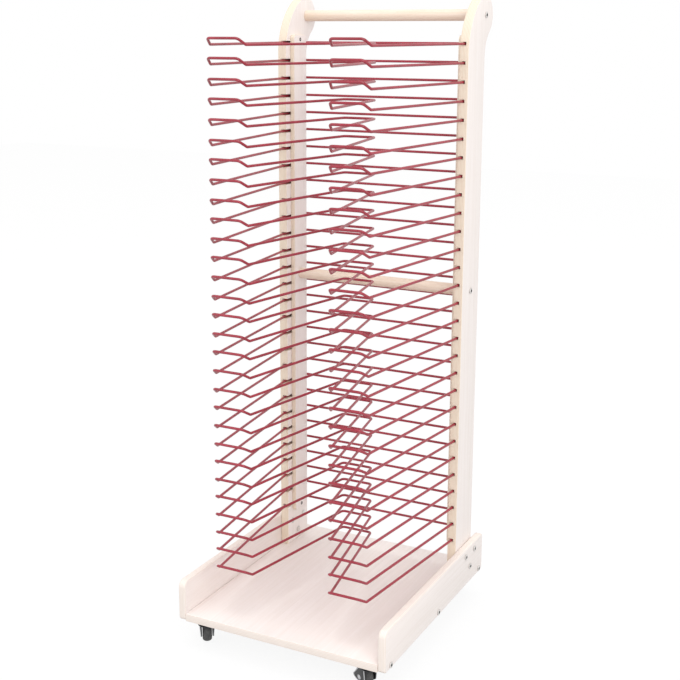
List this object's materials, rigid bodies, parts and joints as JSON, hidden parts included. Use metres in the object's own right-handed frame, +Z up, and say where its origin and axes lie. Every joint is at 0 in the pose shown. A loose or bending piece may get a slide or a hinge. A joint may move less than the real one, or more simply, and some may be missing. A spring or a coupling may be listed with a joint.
{
  "type": "art drying rack",
  "caption": "Mobile art drying rack: a pale plywood stand on swivel casters, with a tall stack of red bent-wire shelves held in grooved uprights.",
  "frame": {"origin": "on the floor under the middle of the rack's footprint", "axes": "+Z up; -Y towards the open front, where sheets are slid in; +X to the right as seen from the front"},
  "size_m": [0.4406, 0.49, 1.2287],
  "materials": {
    "pale_plywood": "clear matt varnish",
    "dowel_wood": "clear matt varnish",
    "red_wire": "smooth powder coat",
    "plated_bolt": "nickel plated",
    "caster_steel": "black paint",
    "caster_tread": "moulded"
  },
  "bodies": {
    "rack": {"base_board": "pale_plywood", "left_rail": "pale_plywood", "left_upright": "pale_plywood", "left_groove_cover": "pale_plywood", "right_rail": "pale_plywood", "right_upright": "pale_plywood", "right_groove_cover": "pale_plywood", "handle_dowel": "dowel_wood", "middle_dowel": "dowel_wood", "wire_shelf_01": "red_wire", "wire_shelf_02": "red_wire", "wire_shelf_03": "red_wire", "wire_shelf_04": "red_wire", "wire_shelf_05": "red_wire", "wire_shelf_06": "red_wire", "wire_shelf_07": "red_wire", "wire_shelf_08": "red_wire", "wire_shelf_09": "red_wire", "wire_shelf_10": "red_wire", "wire_shelf_11": "red_wire", "wire_shelf_12": "red_wire", "wire_shelf_13": "red_wire", "wire_shelf_14": "red_wire", "wire_shelf_15": "red_wire", "wire_shelf_16": "red_wire", "wire_shelf_17": "red_wire", "wire_shelf_18": "red_wire", "wire_shelf_19": "red_wire", "wire_shelf_20": "red_wire", "wire_shelf_21": "red_wire", "wire_shelf_22": "red_wire", "wire_shelf_23": "red_wire", "wire_shelf_24": "red_wire", "wire_shelf_25": "red_wire", "wire_shelf_26": "red_wire", "wire_shelf_27": "red_wire", "wire_shelf_28": "red_wire", "wire_shelf_29": "red_wire", "left_upright_bolt_front": "plated_bolt", "left_upright_bolt_rear": "plated_bolt", "left_upright_bolt_low": "plated_bolt", "left_handle_bolt": "plated_bolt", "left_middle_dowel_bolt": "plated_bolt", "right_upright_bolt_front": "plated_bolt", "right_upright_bolt_rear": "plated_bolt", "right_upright_bolt_low": "plated_bolt", "right_handle_bolt": "plated_bolt", "right_middle_dowel_bolt": "plated_bolt", "front_left_caster_plate": "caster_steel", "front_right_caster_plate": "caster_steel", "rear_left_caster_plate": "caster_steel", "rear_right_caster_plate": "caster_steel"},
    "front_left_fork": {"front_left_caster_fork": "caster_steel"},
    "front_left_wheel": {"front_left_caster_wheel": "caster_tread"},
    "front_right_fork": {"front_right_caster_fork": "caster_steel"},
    "front_right_wheel": {"front_right_caster_wheel": "caster_tread"},
    "rear_left_fork": {"rear_left_caster_fork": "caster_steel"},
    "rear_left_wheel": {"rear_left_caster_wheel": "caster_tread"},
    "rear_right_fork": {"rear_right_caster_fork": "caster_steel"},
    "rear_right_wheel": {"rear_right_caster_wheel": "caster_tread"}
  },
  "joints": [
    {"name": "front_left_swivel", "type": "hinge", "parent": "rack", "child": "front_left_fork", "pos_m": [-0.174, -0.215, 0.055], "axis": [0, 0, 1], "continuous": true},
    {"name": "front_left_roll", "type": "hinge", "parent": "front_left_fork", "child": "front_left_wheel", "pos_m": [-0.18318, -0.20189, 0.02], "axis": [-0.8192, -0.5736, 0], "continuous": true},
    {"name": "front_right_swivel", "type": "hinge", "parent": "rack", "child": "front_right_fork", "pos_m": [0.174, -0.215, 0.055], "axis": [0, 0, 1], "continuous": true},
    {"name": "front_right_roll", "type": "hinge", "parent": "front_right_fork", "child": "front_right_wheel", "pos_m": [0.16014, -0.207, 0.02], "axis": [-0.5, -0.866, 0], "continuous": true},
    {"name": "rear_left_swivel", "type": "hinge", "parent": "rack", "child": "rear_left_fork", "pos_m": [-0.174, 0.205, 0.055], "axis": [0, 0, 1], "continuous": true},
    {"name": "rear_left_roll", "type": "hinge", "parent": "rear_left_fork", "child": "rear_left_wheel", "pos_m": [-0.18531, 0.21631, 0.02], "axis": [-0.7071, -0.7071, 0], "continuous": true},
    {"name": "rear_right_swivel", "type": "hinge", "parent": "rack", "child": "rear_right_fork", "pos_m": [0.174, 0.205, 0.055], "axis": [0, 0, 1], "continuous": true},
    {"name": "rear_right_roll", "type": "hinge", "parent": "rear_right_fork", "child": "rear_right_wheel", "pos_m": [0.16853, 0.22004, 0.02], "axis": [-0.9397, -0.342, 0], "continuous": true}
  ]
}
